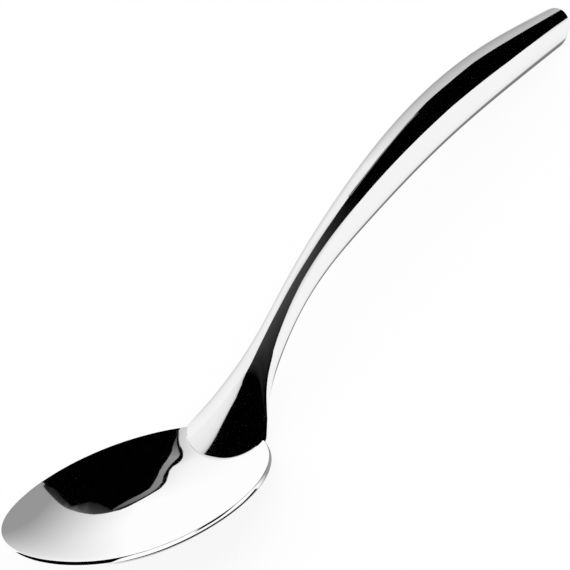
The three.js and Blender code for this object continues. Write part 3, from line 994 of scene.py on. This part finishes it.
# %% [markdown]
# ## Cards near the handle
# A narrow black card hangs just above the end of the handle and carries the stripe on to the end, and
# a grey one stands close to its left side. A dim one arches over the neck, where the stripe is dark
# grey, and a black one beside the flare darkens its right side. A black card lies on the table in
# front of the bowl for the lower side of its rim. From the bowl's inside these cards are hardly seen.

# %% Handle cards
CANOPY_HEIGHT = 95.0
CANOPY = [(168, 50), (345, 50), (345, -20), (262, -25), (244, -31), (222, -35), (168, -32)]
ARCH_GAP = 20.0
ARCH = [(110, 8.4, -20), (100, 6.6, -17.5), (92, 6.5, -15), (84, 6.5, -12.7), (76, 8.9, -11)]
ARCH += [(68, 11.3, -12), (62, 14, -16), (57, 14, -22), (53, 12.7, -25), (48, 12.4, -28)]
ARCH_LEFT_SHINE = [(48, 0.0), (57, 0.05), (68, 0.068), (84, 0.055), (102, 0.008), (110, 0.0)]
ARCH_RIGHT_SHINE = [(53, 0.0), (57, 0.006), (68, 0.035), (78, 0.045), (102, 0.005), (110, 0.0)]
ARCH_SOFT = [(0, 1.0), (4, 0.4), (10, 0.2), (18, 0.0)]
ARCH_DIM = np.array([0.1, 0.25, 0.4, 0.4, 0.4, 0.3, 0.0])
FLAG_SIDE = 27.0
FLAG_FOOT = 20.0
FLAG = [(132, 96), (148, 90.6), (158, 85), (168, 82), (184, 85.5), (199, 83.5), (223, 88), (340, 92)]
FLAG_SHINE = [(132, 0.97), (148, 0.82), (168, 0.69), (199, 0.63), (340, 0.62)]
FLARE_HEIGHT = 40.0
FLARE_CARD = [(20, -15), (58, -15), (60, -20), (62, -27), (63, -34), (66, -42), (69, -60), (58, -90)]
FLARE_CARD += [(20, -90)]
FRONT_CARD = [(-160, -33), (-160, -95), (-110, -180), (-60, -330), (40, -330), (10, -60), (-60, -33)]
FRONT_HEIGHT = 0.3


def arch_edge(side, out=0.0):
    heights = [float(seam_height(x) + crown_height(x)) + ARCH_GAP for x, *_ in ARCH]
    return np.array([(row[0], row[side] + out, z) for row, z in zip(ARCH, heights)])


def on_floor(outline):
    """Points lying on the table, in the frame of the rim."""
    points = np.array([(x, y, FRONT_HEIGHT) for x, y in outline])
    return (points - place) @ lay


black_card("canopy_card", CANOPY, CANOPY_HEIGHT)
black_card("flare_card", FLARE_CARD, FLARE_HEIGHT)
arch_at = [x for x, *_ in ARCH]
arch_glows = [shine_along(shine, arch_at) for shine in (ARCH_LEFT_SHINE, ARCH_RIGHT_SHINE)]
graded_card("neck_card", arch_edge(1), arch_edge(2), *arch_glows)
soft_rows = len(ARCH_DIM)
for (near, near_dim), (far, far_dim) in zip(ARCH_SOFT, ARCH_SOFT[1:]):
    glows = [1 - share * ARCH_DIM for share in (near_dim, far_dim)]
    for side, way, name in ((1, 1, "left"), (2, -1, "right")):
        edges = [arch_edge(side, way * reach)[:soft_rows] for reach in (near, far)]
        graded_card("neck_" + name + "_" + str(far), *edges, *glows)
flag_top = np.array([(x, FLAG_SIDE, top) for x, top in FLAG])
flag_foot = np.array([(x, FLAG_SIDE, FLAG_FOOT) for x, _ in FLAG])
flag_glow = shine_along(FLAG_SHINE, flag_top[:, 0])
graded_card("side_flag", flag_top, flag_foot, flag_glow, flag_glow)
card("front_card", on_floor(FRONT_CARD), [range(len(FRONT_CARD))], [0.0] * len(FRONT_CARD))

# %% [markdown]
# ## Floor
# The table is a plain white sweep. If it were only lit from above it would come out a shade darker
# than the backdrop, so most of its brightness is its own, and the rest is received light, which the
# spoon still shades. The mirrors see the white studio in its place, so that only the cards draw dark
# shapes in them.

# %% Floor sweep
FLOOR_HALF = 3.0
FLOOR_GLOW = 0.86
FLOOR_DROP = 0.00002

floor_mesh = bpy.data.meshes.new("floor")
floor_mesh.from_pydata(
    [
        (x * FLOOR_HALF, y * FLOOR_HALF, -FLOOR_DROP)
        for x, y in ((-1, -1), (1, -1), (1, 1), (-1, 1))
    ],
    [],
    [(0, 1, 2, 3)],
)
floor = bpy.data.objects.new("floor", floor_mesh)
bpy.context.scene.collection.objects.link(floor)
floor.visible_glossy = False
white_sweep = bpy.data.materials.new("white_sweep")
white_sweep.use_nodes = True
sweep = white_sweep.node_tree
sweep.nodes.clear()
paper = sweep.nodes.new("ShaderNodeBsdfDiffuse")
paper.inputs["Color"].default_value = (1 - FLOOR_GLOW, 1 - FLOOR_GLOW, 1 - FLOOR_GLOW, 1)
glow = sweep.nodes.new("ShaderNodeEmission")
glow.inputs["Color"].default_value = (1, 1, 1, 1)
path = sweep.nodes.new("ShaderNodeLightPath")
sees = math_node(sweep, "MAXIMUM", path.outputs["Is Camera Ray"], path.outputs["Is Glossy Ray"])
sees = math_node(sweep, "MAXIMUM", sees, path.outputs["Is Transmission Ray"])
link(sweep, math_node(sweep, "MULTIPLY", sees, FLOOR_GLOW), glow.inputs["Strength"])
both = sweep.nodes.new("ShaderNodeAddShader")
link(sweep, paper.outputs["BSDF"], both.inputs[0])
link(sweep, glow.outputs["Emission"], both.inputs[1])
surface = sweep.nodes.new("ShaderNodeOutputMaterial")
link(sweep, both.outputs["Shader"], surface.inputs["Surface"])
floor_mesh.materials.append(white_sweep)
print("floor:", 2 * FLOOR_HALF, "m square")

# %% [markdown]
# ## Camera
# The photograph has almost no perspective: it was taken from far away with a long lens. The angles
# below were fitted to the outline of the spoon. The lens is made about as long as it can be while
# views from other sides still reach the spoon, so near and far ends have nearly the same scale.

# %% Camera at the photograph's angle
AZIMUTH = math.radians(42.199)
ELEVATION = math.radians(36.166)
ROLL = math.radians(-23.118)
PIXELS_PER_MM = 3.665
PICTURE_SIZE = 570
ORIGIN_PIXEL = (321.556, 328.228)
HALF_VIEW = math.radians(0.61)

towards_camera = Vector(
    (
        -math.sin(AZIMUTH) * math.cos(ELEVATION),
        -math.cos(AZIMUTH) * math.cos(ELEVATION),
        math.sin(ELEVATION),
    )
)
level = Vector((math.cos(AZIMUTH), -math.sin(AZIMUTH), 0))
upright = towards_camera.cross(level)
picture_right = math.cos(ROLL) * level + math.sin(ROLL) * upright
picture_up = -math.sin(ROLL) * level + math.cos(ROLL) * upright
half_picture = PICTURE_SIZE / 2
aim = (
    picture_right * ((half_picture - ORIGIN_PIXEL[0]) / PIXELS_PER_MM)
    + picture_up * ((ORIGIN_PIXEL[1] - half_picture) / PIXELS_PER_MM)
) * MM
distance = half_picture / PIXELS_PER_MM * MM / math.tan(HALF_VIEW)

camera_data = bpy.data.cameras.new("long_lens")
camera_data.sensor_width = 36.0
camera_data.lens = camera_data.sensor_width / 2 / math.tan(HALF_VIEW)
camera_data.clip_start = 0.1
camera_data.clip_end = 100.0
camera = bpy.data.objects.new("long_lens", camera_data)
bpy.context.scene.collection.objects.link(camera)
axes = Matrix((picture_right, picture_up, towards_camera)).transposed()
camera.matrix_world = Matrix.Translation(aim + towards_camera * distance) @ axes.to_4x4()
bpy.context.scene.camera = camera
bpy.context.scene.view_settings.view_transform = "Standard"
print("camera is", round(distance, 2), "m away, lens", round(camera_data.lens), "mm")
